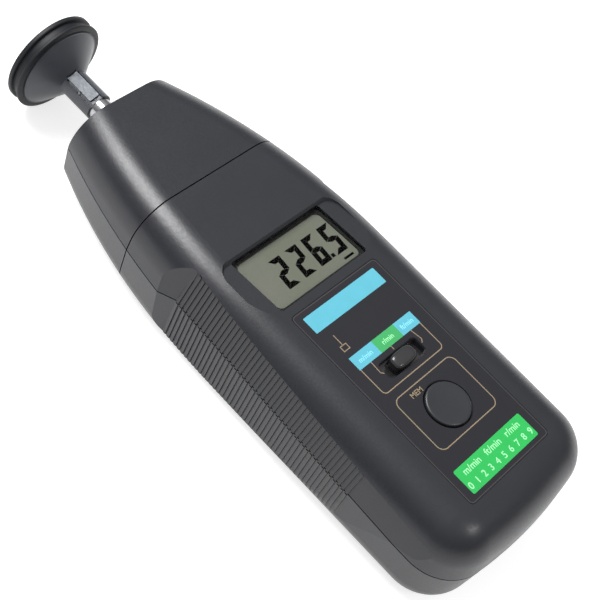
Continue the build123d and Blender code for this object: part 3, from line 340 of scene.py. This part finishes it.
def noise(tree, scale, detail=3.0, roughness=0.55, squeeze=None):
    """Noise in the object's own space, finer along an axis for brushed or drawn surfaces."""
    coordinates = tree.nodes.new("ShaderNodeTexCoord")
    texture = tree.nodes.new("ShaderNodeTexNoise")
    texture.inputs["Scale"].default_value = scale
    texture.inputs["Detail"].default_value = detail
    texture.inputs["Roughness"].default_value = roughness
    source = coordinates.outputs["Object"]
    if squeeze:
        mapping = tree.nodes.new("ShaderNodeMapping")
        mapping.inputs["Scale"].default_value = squeeze
        tree.links.new(source, mapping.inputs["Vector"])
        source = mapping.outputs["Vector"]
    tree.links.new(source, texture.inputs["Vector"])
    return texture.outputs["Fac"]


def ramp(tree, factor, stops):
    """Colour ramp over a factor, from (position, colour) stops."""
    node = tree.nodes.new("ShaderNodeValToRGB")
    elements = node.color_ramp.elements
    while len(elements) < len(stops):
        elements.new(0.5)
    for element, (position, colour) in zip(elements, stops):
        element.position = position
        element.color = (*colour, 1)
    tree.links.new(factor, node.inputs["Fac"])
    return node.outputs["Color"]


def spread(tree, factor, low, high, start=0.3, end=0.7):
    """Factor mapped to a range of values."""
    node = tree.nodes.new("ShaderNodeMapRange")
    node.inputs["From Min"].default_value = start
    node.inputs["From Max"].default_value = end
    node.inputs["To Min"].default_value = low
    node.inputs["To Max"].default_value = high
    tree.links.new(factor, node.inputs["Value"])
    return node.outputs["Result"]


def edge_mask(tree, radius):
    """Softened normal of the edges, and a mask that is bright along them."""
    bevel = tree.nodes.new("ShaderNodeBevel")
    bevel.samples = BEVEL_SAMPLES
    bevel.inputs["Radius"].default_value = radius / 1000
    geometry = tree.nodes.new("ShaderNodeNewGeometry")
    dot = tree.nodes.new("ShaderNodeVectorMath")
    dot.operation = "DOT_PRODUCT"
    tree.links.new(bevel.outputs["Normal"], dot.inputs[0])
    tree.links.new(geometry.outputs["Normal"], dot.inputs[1])
    mask = spread(tree, dot.outputs["Value"], 1.0, 0.0, start=EDGE_COSINE, end=FLAT_COSINE)
    return bevel.outputs["Normal"], mask


def relief(tree, shader, height, strength, depth, normal=None):
    """Fine relief of the given depth on the shader's normal, over a softened normal if given."""
    bump = tree.nodes.new("ShaderNodeBump")
    bump.inputs["Strength"].default_value = strength
    bump.inputs["Distance"].default_value = depth / 1000
    tree.links.new(height, bump.inputs["Height"])
    if normal is not None:
        tree.links.new(normal, bump.inputs["Normal"])
    tree.links.new(bump.outputs["Normal"], shader.inputs["Normal"])


def shade(colour, factor):
    """Colour made darker or paler by a factor."""
    return tuple(min(channel * factor, 1.0) for channel in colour)


def moulded(name, colour, roughness, grain=2600, depth=0.02, mottle=0.1, edge=0.12, specular=0.3):
    """Moulded plastic: grain, faint mottling, and edges rubbed paler over a width, if that isn't 0."""
    material, tree, shader = new_material(name)
    cloud = noise(tree, 90, detail=4.0)
    fine = noise(tree, grain, detail=2.0, roughness=0.7)
    base = ramp(tree, cloud, [(0.3, shade(colour, 1 - mottle)), (0.7, shade(colour, 1 + mottle))])
    rough = spread(tree, fine, roughness - 0.05, roughness + 0.05)
    normal = None
    if edge:
        normal, mask = edge_mask(tree, edge)
        rubbed = tree.nodes.new("ShaderNodeMix")
        rubbed.data_type = "RGBA"
        rubbed.inputs["B"].default_value = (*shade(colour, RUBBED_FACTOR), 1)
        tree.links.new(spread(tree, mask, 0.0, RUBBED_SHARE, start=0.0, end=1.0), rubbed.inputs["Factor"])
        tree.links.new(base, rubbed.inputs["A"])
        base = rubbed.outputs["Result"]
    shader.inputs["Specular IOR Level"].default_value = specular
    tree.links.new(base, shader.inputs["Base Color"])
    tree.links.new(rough, shader.inputs["Roughness"])
    relief(tree, shader, fine, 0.6, depth, normal)
    return material


def metal(name, colour, roughness, squeeze=(1, 1, 1), scale=900, depth=0.004):
    """Metal with fine drawn or turned lines and a little tarnish."""
    material, tree, shader = new_material(name)
    lines = noise(tree, scale, detail=4.0, roughness=0.6, squeeze=squeeze)
    cloud = noise(tree, 150, detail=3.0)
    base = ramp(tree, cloud, [(0.35, shade(colour, 0.86)), (0.65, colour)])
    rough = spread(tree, lines, roughness * 0.75, roughness * 1.3)
    shader.inputs["Metallic"].default_value = 1.0
    tree.links.new(base, shader.inputs["Base Color"])
    tree.links.new(rough, shader.inputs["Roughness"])
    relief(tree, shader, lines, 0.35, depth)
    return material


def printed(name, colour, roughness=0.45):
    """Screen-printed ink with its fine screen and slightly uneven cover."""
    material, tree, shader = new_material(name)
    screen = noise(tree, 5200, detail=1.0, roughness=0.5)
    cloud = noise(tree, 260, detail=3.0)
    base = ramp(tree, cloud, [(0.3, shade(colour, 0.97)), (0.7, shade(colour, 1.03))])
    rough = spread(tree, screen, roughness - 0.08, roughness + 0.08)
    shader.inputs["Specular IOR Level"].default_value = 0.3
    tree.links.new(base, shader.inputs["Base Color"])
    tree.links.new(rough, shader.inputs["Roughness"])
    relief(tree, shader, screen, 0.2, 0.004)
    return material


def clear_window():
    """Clear acrylic: lets the display through and mirrors a little, with faint wipe marks."""
    material, tree, shader = new_material("window_acrylic")
    output = tree.nodes["Material Output"]
    tree.nodes.remove(shader)
    through = tree.nodes.new("ShaderNodeBsdfTransparent")
    through.inputs["Color"].default_value = (0.95, 0.96, 0.94, 1)
    gloss = tree.nodes.new("ShaderNodeBsdfGlossy")
    wipes = noise(tree, 420, detail=4.0, roughness=0.6, squeeze=(1, 6, 1))
    tree.links.new(spread(tree, wipes, 0.03, 0.12), gloss.inputs["Roughness"])
    fresnel = tree.nodes.new("ShaderNodeFresnel")
    fresnel.inputs["IOR"].default_value = 1.15
    geometry = tree.nodes.new("ShaderNodeNewGeometry")
    outside = spread(tree, geometry.outputs["Backfacing"], 1.0, 0.0, start=0.0, end=1.0)
    mirror = tree.nodes.new("ShaderNodeMath")
    mirror.operation = "MULTIPLY"
    tree.links.new(fresnel.outputs["Fac"], mirror.inputs[0])
    tree.links.new(outside, mirror.inputs[1])
    mix = tree.nodes.new("ShaderNodeMixShader")
    tree.links.new(mirror.outputs["Value"], mix.inputs["Fac"])
    tree.links.new(through.outputs["BSDF"], mix.inputs[1])
    tree.links.new(gloss.outputs["BSDF"], mix.inputs[2])
    tree.links.new(mix.outputs["Shader"], output.inputs["Surface"])
    return material


def display_glass():
    """Grey-green reflective display with soft, uneven polariser haze."""
    material, tree, shader = new_material("display_polariser")
    haze = noise(tree, 45, detail=2.0)
    fine = noise(tree, 4200, detail=1.0)
    base = ramp(tree, haze, [(0.35, DISPLAY_GREEN), (0.65, DISPLAY_GREY)])
    shader.inputs["Specular IOR Level"].default_value = 0.2
    tree.links.new(base, shader.inputs["Base Color"])
    tree.links.new(spread(tree, fine, 0.4, 0.5), shader.inputs["Roughness"])
    return material


def cell_sleeve():
    """Printed sleeve of the cells: a copper-coloured band at the tail end of a dark body."""
    material, tree, shader = new_material("cell_sleeve")
    coordinates = tree.nodes.new("ShaderNodeTexCoord")
    split = tree.nodes.new("ShaderNodeSeparateXYZ")
    tree.links.new(coordinates.outputs["Object"], split.inputs["Vector"])
    tail = CELL_TAIL_Y / 1000
    along = spread(tree, split.outputs["Y"], 0.0, 1.0, start=tail, end=tail + CELL_LENGTH / 1000)
    copper_stops = [(0.0, CELL_COPPER), (CELL_BAND_SHARE, CELL_COPPER)]
    dark_stops = [(CELL_BAND_SHARE + 0.01, CELL_DARK), (1.0, CELL_NOSE_DARK)]
    base = ramp(tree, along, copper_stops + dark_stops)
    cloud = noise(tree, 500, detail=3.0)
    tree.links.new(base, shader.inputs["Base Color"])
    tree.links.new(spread(tree, cloud, 0.2, 0.35), shader.inputs["Roughness"])
    return material


materials = {
    "case": moulded("case_plastic", CASE_GREY, 0.34, grain=1500, depth=0.035, mottle=0.08, specular=0.55),
    "cover": moulded(
        "cover_plastic", shade(CASE_GREY, 0.95), 0.35, grain=1500, depth=0.035, specular=0.55
    ),
    "window": clear_window(),
    "black": moulded("bezel_plastic", (0.008, 0.008, 0.009), 0.55, edge=0),
    "glass": display_glass(),
    "label": printed("label_film", (0.0155, 0.0158, 0.0205), 0.42),
    "button": moulded(
        "button_plastic", (0.020, 0.021, 0.025), 0.36, grain=3400, depth=0.012, edge=0.2, specular=0.5
    ),
    "knob": moulded(
        "knob_plastic", (0.016, 0.016, 0.018), 0.24, grain=1800, depth=0.006, edge=0.2, specular=0.7
    ),
    "switch": moulded("switch_plastic", (0.02, 0.02, 0.02), 0.5, edge=0),
    "white": moulded("actuator_plastic", (0.6, 0.6, 0.57), 0.4, edge=0),
    "board": moulded("board_laminate", (0.02, 0.12, 0.05), 0.35, grain=1200, edge=0),
    "chip": moulded("chip_resin", (0.015, 0.015, 0.016), 0.6, edge=0),
    "rubber_strip": moulded("strip_rubber", (0.5, 0.25, 0.28), 0.7, edge=0),
    "contact": metal("nickel_sheet", (0.62, 0.6, 0.56), 0.3, squeeze=(1, 1, 6)),
    "sleeve": cell_sleeve(),
    "shaft": metal("polished_steel", (0.42, 0.42, 0.44), 0.2, squeeze=(1, 9, 1), scale=1400),
    "pin": metal("ground_steel", (0.5, 0.5, 0.5), 0.3),
    "bronze": metal("sintered_bronze", (0.45, 0.32, 0.17), 0.45, scale=2400),
    "cast": metal("cast_alloy", (0.5, 0.51, 0.52), 0.5, scale=700, depth=0.02),
    "disc": moulded("disc_film", (0.012, 0.012, 0.012), 0.35, edge=0),
    "wheel": moulded("wheel_plastic", (0.055, 0.060, 0.071), 0.36, grain=2000, edge=0.15, specular=0.5),
    "tongue": metal("spring_sheet", (0.105, 0.113, 0.122), 0.5, squeeze=(9, 1, 1)),
    "tyre": moulded("tyre_rubber", (0.010, 0.011, 0.014), 0.5, grain=3200, depth=0.015, edge=0.15),
    "screw": metal("zinc_screw", (0.55, 0.54, 0.5), 0.34),
    # Near-black for the painted shade of the screws' cross recesses
    "dark": moulded("shadow_black", (0.004, 0.004, 0.004), 0.8, edge=0),
    "gold": printed("gold_ink", (0.28, 0.215, 0.14)),
    "blue": printed("blue_ink", (0.105, 0.43, 0.54)),
    "green": printed("green_ink", (0.05, 0.37, 0.12)),
    "field_green": printed("field_ink", (0.025, 0.44, 0.09)),
    "pale_blue": printed("pale_blue_ink", (0.25, 0.72, 0.9)),
    "pale_green": printed("pale_ink", (0.35, 0.85, 0.42)),
    # Pale grey of the painted highlight along the step round the label
    "edge_highlight": printed("edge_highlight_paint", (0.055, 0.052, 0.052)),
    "digit": moulded("display_segment", (0.002, 0.002, 0.002), 0.7, edge=0, specular=0.0),
}

nodes_with = {
    "case": ["front_shell", "rear_shell", "nose_front_shell", "nose_rear_shell"],
    "cover": ["battery_cover"],
    "window": ["lcd_window"],
    "black": ["display_bezel"],
    "glass": ["lcd_panel"],
    "rubber_strip": ["contact_strips"],
    "label": ["front_label"],
    "button": ["memory_button", "test_button"],
    "knob": ["mode_knob"],
    "switch": ["memory_plunger", "memory_switch", "test_plunger", "test_switch"],
    "white": ["mode_actuator"],
    "contact": ["mode_switch_body", "tail_contacts", "nose_link_contact", "nose_end_contacts"],
    "board": ["test_board", "main_board", "sensor_board"],
    "chip": ["main_chip", "light_barrier"],
    "shaft": ["spindle_shaft"],
    "pin": ["drive_pin", "retaining_rings"],
    "bronze": ["rear_bush", "front_bush"],
    "cast": ["bearing_carrier"],
    "disc": ["encoder_disc"],
    "wheel": ["wheel_disc"],
    "tongue": ["hub_tongue"],
    "tyre": ["wheel_tyre"],
    "screw": ["case_screws", "nose_screws", "board_screws", "sensor_screws", "carrier_screws"],
    "sleeve": [f"battery_cell_{number}" for number in range(1, 5)],
}
for finish, names in nodes_with.items():
    for name in names:
        for slot in nodes[name].material_slots:
            slot.material = materials[finish]


# Slide switch knob: a rounded grip on its cover plate


def knob_rings():
    """Half length, half width and height of the grip's rings, from the cover plate to its crown."""
    half_length, half_width = KNOB_HALF
    rings = [(half_length, half_width, KNOB_PLATE_TOP), (half_length, half_width, KNOB_SHOULDER)]
    for step in range(1, KNOB_STEPS + 1):
        turn = math.radians(90 * step / (KNOB_STEPS + 1))
        inset = KNOB_ROUND * (1 - math.cos(turn) ** KNOB_INSET_POWER)
        rise = (KNOB_TOP - KNOB_SHOULDER) * math.sin(turn) ** KNOB_RISE_POWER
        rings.append((half_length - inset * KNOB_END_FACTOR, half_width - inset, KNOB_SHOULDER + rise))
    return rings


def squarer(share):
    """Sine or cosine changed so that its oval comes nearer to a box."""
    return math.copysign(abs(share) ** KNOB_OVAL_POWER, share)


def knob_grip():
    """Lofted grip of the knob with an oval crown."""
    verts, faces = [], []
    rings = knob_rings()
    for half_length, half_width, z in rings:
        for k in range(KNOB_POINTS):
            turn = math.tau * k / KNOB_POINTS
            x = squarer(math.cos(turn)) * half_length
            y = squarer(math.sin(turn)) * half_width
            verts.append(metres(x, KNOB_Y + y, z))
    for ring in range(len(rings) - 1):
        for k in range(KNOB_POINTS):
            here = ring * KNOB_POINTS + k
            after = ring * KNOB_POINTS + (k + 1) % KNOB_POINTS
            faces.append((here, after, after + KNOB_POINTS, here + KNOB_POINTS))
    last = (len(rings) - 1) * KNOB_POINTS
    crown = len(verts)
    foot = crown + 1
    verts += [metres(0, KNOB_Y, KNOB_TOP), metres(0, KNOB_Y, KNOB_PLATE_TOP)]
    for k in range(KNOB_POINTS):
        after = (k + 1) % KNOB_POINTS
        faces.append((last + k, last + after, crown))
        faces.append((after, k, foot))
    return mesh_piece("knob_grip", verts, faces, "mode_slider", materials["knob"], smooth=True)


def knob_plate_outline():
    """Outline of the cover plate under the grip."""
    half_length, half_width = KNOB_PLATE
    ends = (KNOB_Y - half_width, KNOB_Y + half_width)
    return box_outline(-half_length, half_length, *ends, KNOB_PLATE_CORNER)


grip = knob_grip()
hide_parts("mode_knob")
knob_plate = plates(
    "knob_plate",
    [knob_plate_outline()],
    metres,
    materials["knob"],
    body="mode_slider",
    low=KNOB_PLATE_LOW,
    high=KNOB_PLATE_TOP,
)


# Printed label, with a line of painted highlight round its edge


def print_bars():
    """Blue bar, unit strip over the switch and green field."""
    strip_ends = [box_outline(*STRIP_LEFT), box_outline(*STRIP_RIGHT)]
    plates("print_blue_bar", [box_outline(*BLUE_BAR, BAR_CORNER)], on_label, materials["blue"])
    plates("print_strip_ends", strip_ends, on_label, materials["blue"])
    plates("print_strip_middle", [box_outline(*STRIP_MIDDLE)], on_label, materials["green"])
    field = [box_outline(*GREEN_FIELD, FIELD_CORNER)]
    plates("print_green_field", field, on_label, materials["field_green"])


def print_lines():
    """Frames round the switch and the button, brackets of the strip and the small mark."""
    frames = [
        (rounded(SWITCH_FRAME, SWITCH_FRAME_CORNER, False), False),
        (rounded(MEMORY_FRAME, MEMORY_FRAME_CORNER, True), True),
    ]
    ribbons("print_frames", frames, LINE_WIDTH, on_label, materials["gold"])
    open_lines = [LEFT_BRACKET, RIGHT_BRACKET, MIDDLE_TICK, MARK_STEM]
    brackets = [(points, False) for points in open_lines] + [(MARK_FOOT, True)]
    ribbons("print_brackets", brackets, FINE_LINE_WIDTH, on_label, materials["gold"])


def print_captions():
    """Generic words: use of the button, units over the switch, units and numbers on the field."""
    gold, pale_blue, pale_green = (materials[ink] for ink in ("gold", "pale_blue", "pale_green"))
    caption("print_memory_caption", "MEM", *KEY_CAPTION_PLACE, KEY_CAPTION_SIZE, gold, FINE_WEIGHT)
    units = [
        ("print_left_unit", "m/min", UNIT_LEFT_X, pale_blue),
        ("print_middle_unit", "r/min", UNIT_MIDDLE_X, pale_green),
        ("print_right_unit", "ft/min", UNIT_RIGHT_X, pale_blue),
    ]
    for name, words, x, ink in units:
        caption(name, words, x, UNIT_Y, UNIT_SIZE, ink, FINE_WEIGHT)
    rows = [
        ("print_unit_row", "m/min   ft/min   r/min", FIELD_UPPER_Y),
        ("print_number_row", "0  1  2  3  4  5  6  7  8  9", FIELD_LOWER_Y),
    ]
    for name, words, y in rows:
        caption(name, words, 0.0, y, FIELD_SIZE, pale_green, FIELD_WEIGHT)


def label_edge_highlight():
    """Pale line of painted highlight round the edge of the label, where the step of its recess catches the
    light.
    """
    low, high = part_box("front_label")
    left = low[0] * 1000 + EDGE_HIGHLIGHT_INSET
    right = high[0] * 1000 - EDGE_HIGHLIGHT_INSET
    tail = low[1] * 1000 - origin_y + EDGE_HIGHLIGHT_INSET
    front = high[1] * 1000 - origin_y - EDGE_HIGHLIGHT_INSET
    outline = box_outline(left, right, tail, front, EDGE_HIGHLIGHT_CORNER)
    ribbons("label_edge_highlight", [(outline, True)], EDGE_HIGHLIGHT_WIDTH, on_label, materials["edge_highlight"])


print_bars()
print_lines()
print_captions()
label_edge_highlight()


# Display digits, each from its bars: a at the top, g in the middle, d at the bottom,
# f and b the upper pair, e and c the lower pair

BARS_OF = {
    "2": "abged",
    "6": "acdefg",
    "5": "acdfg",
}


def digit_bars():
    """Outline of each bar of an upright digit, from its lower left corner."""
    right, top, thick, gap = DIGIT_WIDTH, DIGIT_HEIGHT, DIGIT_STROKE, SEGMENT_GAP
    inner_left, inner_right = thick, right - thick
    middle = top / 2
    upper, lower = middle + thick / 2, middle - thick / 2
    tip = thick * SEGMENT_TIP
    return {
        "a": [
            (gap, top),
            (right - gap, top),
            (inner_right - gap, top - thick),
            (inner_left + gap, top - thick),
        ],
        "d": [(inner_left + gap, thick), (inner_right - gap, thick), (right - gap, 0), (gap, 0)],
        "g": [
            (tip, middle),
            (inner_left + gap, upper),
            (inner_right - gap, upper),
            (right - tip, middle),
            (inner_right - gap, lower),
            (inner_left + gap, lower),
        ],
        "f": [(0, middle + gap), (0, top - gap), (inner_left, top - thick - gap), (inner_left, upper + gap)],
        "b": [
            (inner_right, upper + gap),
            (inner_right, top - thick - gap),
            (right, top - gap),
            (right, middle + gap),
        ],
        "e": [(0, gap), (0, middle - gap), (inner_left, lower - gap), (inner_left, thick + gap)],
        "c": [(inner_right, thick + gap), (inner_right, lower - gap), (right, middle - gap), (right, gap)],
    }


def signed_area(outline):
    """Twice the area of an outline, negative where it runs clockwise."""
    return sum(a[0] * b[1] - b[0] * a[1] for a, b in zip(outline, outline[1:] + outline[:1]))


def digit_outlines(digit, x, y):
    """Outlines of one digit's bars, slanted to the right, all anticlockwise."""
    bars = digit_bars()
    outlines = []
    for bar in BARS_OF[digit]:
        outline = [(x + px + py * DIGIT_SLANT, y + py) for px, py in bars[bar]]
        outlines.append(outline if signed_area(outline) > 0 else outline[::-1])
    return outlines


digits = []
for digit, left in DIGITS:
    digits += digit_outlines(digit, left, DIGIT_BOTTOM)
digits.append(box_outline(*DECIMAL_POINT))
digits.append(box_outline(*LOWER_DASH))
plates("display_digits", digits, on_display, materials["digit"], low=SEGMENT_LOW, high=SEGMENT_HIGH)


# Cross recesses of the screws at the back, as flat crosses of painted shade on their heads


def on_screw_head(x, y, height):
    """Point over the heads of the screws at the back; heights below zero are outside."""
    return metres(x, y, SCREW_HEAD_Z + height)


def recess_shade_crosses(places):
    """Outlines of a cross of painted shade in the head of each screw, standing for the shade in its recess.
    """
    outlines = []
    for x, y in places:
        for reach_x, reach_y in (RECESS_HALVES, RECESS_HALVES[::-1]):
            outlines.append(box_outline(x - reach_x, x + reach_x, y - reach_y, y + reach_y))
    return outlines


# Flat dark crosses are painted shade standing for the recesses of the screw heads
recess_shade_outlines = recess_shade_crosses(CASE_SCREWS + NOSE_SCREWS)
plates("screw_recess_shade", recess_shade_outlines, on_screw_head, materials["dark"], low=RECESS_LOW, high=RECESS_HIGH)


# Floor: pale where it is seen or mirrored, darker for the light that it throws back


def grey(level):
    """Colour without a hue."""
    return (level, level, level)


def floor_finish():
    """Matt grey floor that glows where the camera, a mirror or glass sees it."""
    material, tree, shader = new_material("studio_floor")
    cloud = noise(tree, 3, detail=2.0)
    base = ramp(tree, cloud, [(0.3, grey(FLOOR_DARK)), (0.7, grey(FLOOR_PALE))])
    rays = tree.nodes.new("ShaderNodeLightPath")
    seen = rays.outputs["Is Camera Ray"]
    for ray in ("Is Glossy Ray", "Is Transmission Ray"):
        either = tree.nodes.new("ShaderNodeMath")
        either.operation = "MAXIMUM"
        tree.links.new(seen, either.inputs[0])
        tree.links.new(rays.outputs[ray], either.inputs[1])
        seen = either.outputs["Value"]
    glow = spread(tree, seen, 0.0, FLOOR_GLOW, start=0.0, end=1.0)
    shader.inputs["Roughness"].default_value = 0.9
    shader.inputs["Specular IOR Level"].default_value = 0.0
    shader.inputs["Emission Color"].default_value = (1, 1, 1, 1)
    tree.links.new(base, shader.inputs["Base Color"])
    tree.links.new(glow, shader.inputs["Emission Strength"])
    return material


floor_mesh = bpy.data.meshes.new("floor")
floor_corners = [(x * FLOOR_REACH, y * FLOOR_REACH, 0) for x, y in [(-1, -1), (1, -1), (1, 1), (-1, 1)]]
floor_mesh.from_pydata(floor_corners, [], [(0, 1, 2, 3)])
floor_mesh.materials.append(floor_finish())
floor = bpy.data.objects.new("floor", floor_mesh)
bpy.context.collection.objects.link(floor)


# Light: two soft boxes and a sky that is brightest at the horizon


def soft_box(name, place, size, power):
    """Rectangular lamp at a place in metres that looks at the middle of the object."""
    light = bpy.data.lights.new(name, "AREA")
    light.shape = "RECTANGLE"
    light.size, light.size_y = size
    light.energy = power
    lamp = bpy.data.objects.new(name, light)
    bpy.context.collection.objects.link(lamp)
    lamp.location = place
    aim = -Vector(place)
    lamp.rotation_euler = aim.to_track_quat("-Z", "Y").to_euler()


def studio_sky():
    """World light that changes with the height over the horizon."""
    world = bpy.data.worlds.new("studio")
    world.use_nodes = True
    tree = world.node_tree
    coordinates = tree.nodes.new("ShaderNodeTexCoord")
    split = tree.nodes.new("ShaderNodeSeparateXYZ")
    tree.links.new(coordinates.outputs["Generated"], split.inputs["Vector"])
    stops = [(height, grey(level)) for height, level in SKY_LEVELS]
    sky = ramp(tree, split.outputs["Z"], stops)
    tree.links.new(sky, tree.nodes["Background"].inputs["Color"])
    bpy.context.scene.world = world


soft_box("shoulder_box", **SHOULDER_BOX)
soft_box("tail_box", **TAIL_BOX)
studio_sky()


# Camera

camera_data = bpy.data.cameras.new("camera")
camera_data.sensor_width = CAMERA_SENSOR
camera_data.lens = CAMERA_LENS
camera_data.shift_x, camera_data.shift_y = CAMERA_SHIFT
camera = bpy.data.objects.new("camera", camera_data)
bpy.context.collection.objects.link(camera)
camera_turn = Euler([math.radians(turn) for turn in CAMERA_TURNS]).to_matrix().to_4x4()
camera.matrix_world = Matrix.Translation(metres(*CAMERA_PLACE)) @ camera_turn
bpy.context.scene.camera = camera
bpy.context.scene.view_settings.view_transform = "Standard"
